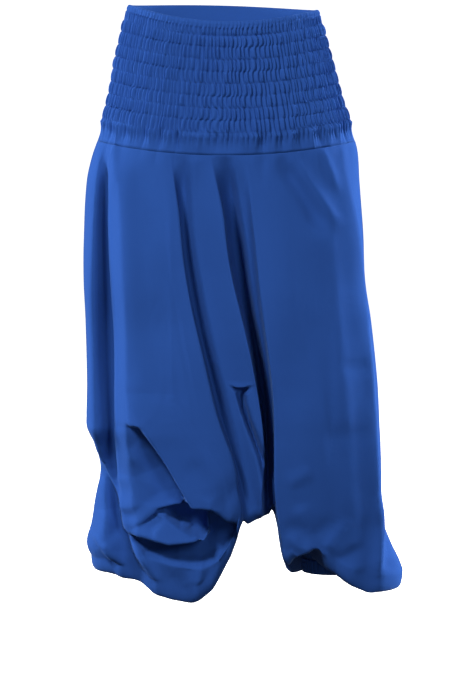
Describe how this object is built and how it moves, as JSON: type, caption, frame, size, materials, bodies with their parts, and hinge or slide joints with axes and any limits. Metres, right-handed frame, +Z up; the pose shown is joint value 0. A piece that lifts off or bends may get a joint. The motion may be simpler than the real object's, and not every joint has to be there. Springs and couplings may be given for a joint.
{
  "type": "harem pants",
  "caption": "Royal blue cotton harem pants as worn, with a wide smocked waistband, a low draped crotch and two gathered ankle cuffs.",
  "frame": {"origin": "the middle of the waist, level with the top of the band at the side seams, less 10 mm", "axes": "+Z points up from the ankles to the waist, -Y is the front, +X is the wearer's left, on the viewer's right from the front"},
  "size_m": [0.5043, 0.3254, 0.9506],
  "materials": {
    "cloth": "plain-woven cotton poplin, matt with a slight sheen"
  },
  "bodies": {
    "root": {"waistband": "cloth", "front_panel": "cloth", "front_leg_left": "cloth", "front_leg_right": "cloth", "back_panel": "cloth", "back_leg_left": "cloth", "back_leg_right": "cloth", "ankle_cuff_left": "cloth", "ankle_cuff_right": "cloth"}
  },
  "joints": []
}
